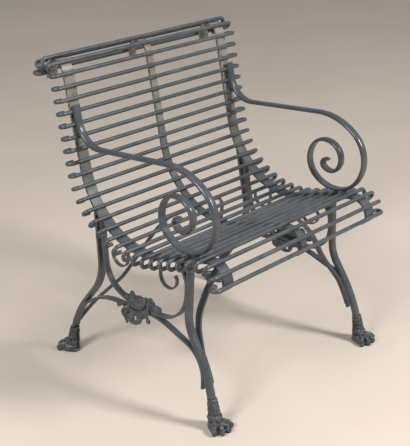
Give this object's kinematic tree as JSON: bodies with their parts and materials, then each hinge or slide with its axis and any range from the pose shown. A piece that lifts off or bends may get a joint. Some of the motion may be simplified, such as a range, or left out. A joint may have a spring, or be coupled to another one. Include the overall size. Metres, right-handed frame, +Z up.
{
  "type": "garden armchair",
  "caption": "Iron garden armchair with a rolled seat and back of round rods on flat straps, scrolled arms, shell medallions and splayed legs on lion paws.",
  "frame": {"origin": "on the floor, under the middle of the chair's width and depth", "axes": "+Z up, the sitter faces -Y, +X is the sitter's left"},
  "size_m": [0.62, 0.608, 0.7767],
  "materials": {
    "rods": "worn slate-blue satin paint",
    "straps": "slate-blue satin paint, faded to beige grey with spots of rust",
    "arms": "worn slate-blue satin paint",
    "legs": "worn slate-blue satin paint",
    "braces": "slate-blue satin paint, darker under the seat",
    "medallions": "painted casting with worn ridges",
    "paws": "painted casting with worn ridges"
  },
  "bodies": {
    "root": {"arm_left": "arms", "arm_right": "arms", "centre_strap": "straps", "front_arch": "braces", "front_curl_left": "braces", "front_curl_right": "braces", "front_leg_left": "legs", "front_leg_right": "legs", "front_paw_left": "paws", "front_paw_right": "paws", "lower_stretcher_left": "braces", "lower_stretcher_right": "braces", "medallion_left": "medallions", "medallion_right": "medallions", "rear_arch": "braces", "rear_curl_left": "braces", "rear_curl_right": "braces", "rear_leg_left": "legs", "rear_leg_right": "legs", "rear_paw_left": "paws", "rear_paw_right": "paws", "side_strap_left": "straps", "side_strap_right": "straps", "slat_01": "rods", "slat_02": "rods", "slat_03": "rods", "slat_04": "rods", "slat_05": "rods", "slat_06": "rods", "slat_07": "rods", "slat_08": "rods", "slat_09": "rods", "slat_10": "rods", "slat_11": "rods", "slat_12": "rods", "slat_13": "rods", "slat_14": "rods", "slat_15": "rods", "slat_16": "rods", "slat_17": "rods", "slat_18": "rods", "slat_19": "rods", "slat_20": "rods", "slat_21": "rods", "slat_22": "rods", "slat_23": "rods", "slat_24": "rods", "slat_25": "rods", "slat_26": "rods", "slat_27": "rods", "slat_28": "rods", "slat_29": "rods", "slat_30": "rods", "slat_31": "rods", "slat_32": "rods", "upper_stretcher_left": "braces", "upper_stretcher_right": "braces"}
  },
  "joints": []
}
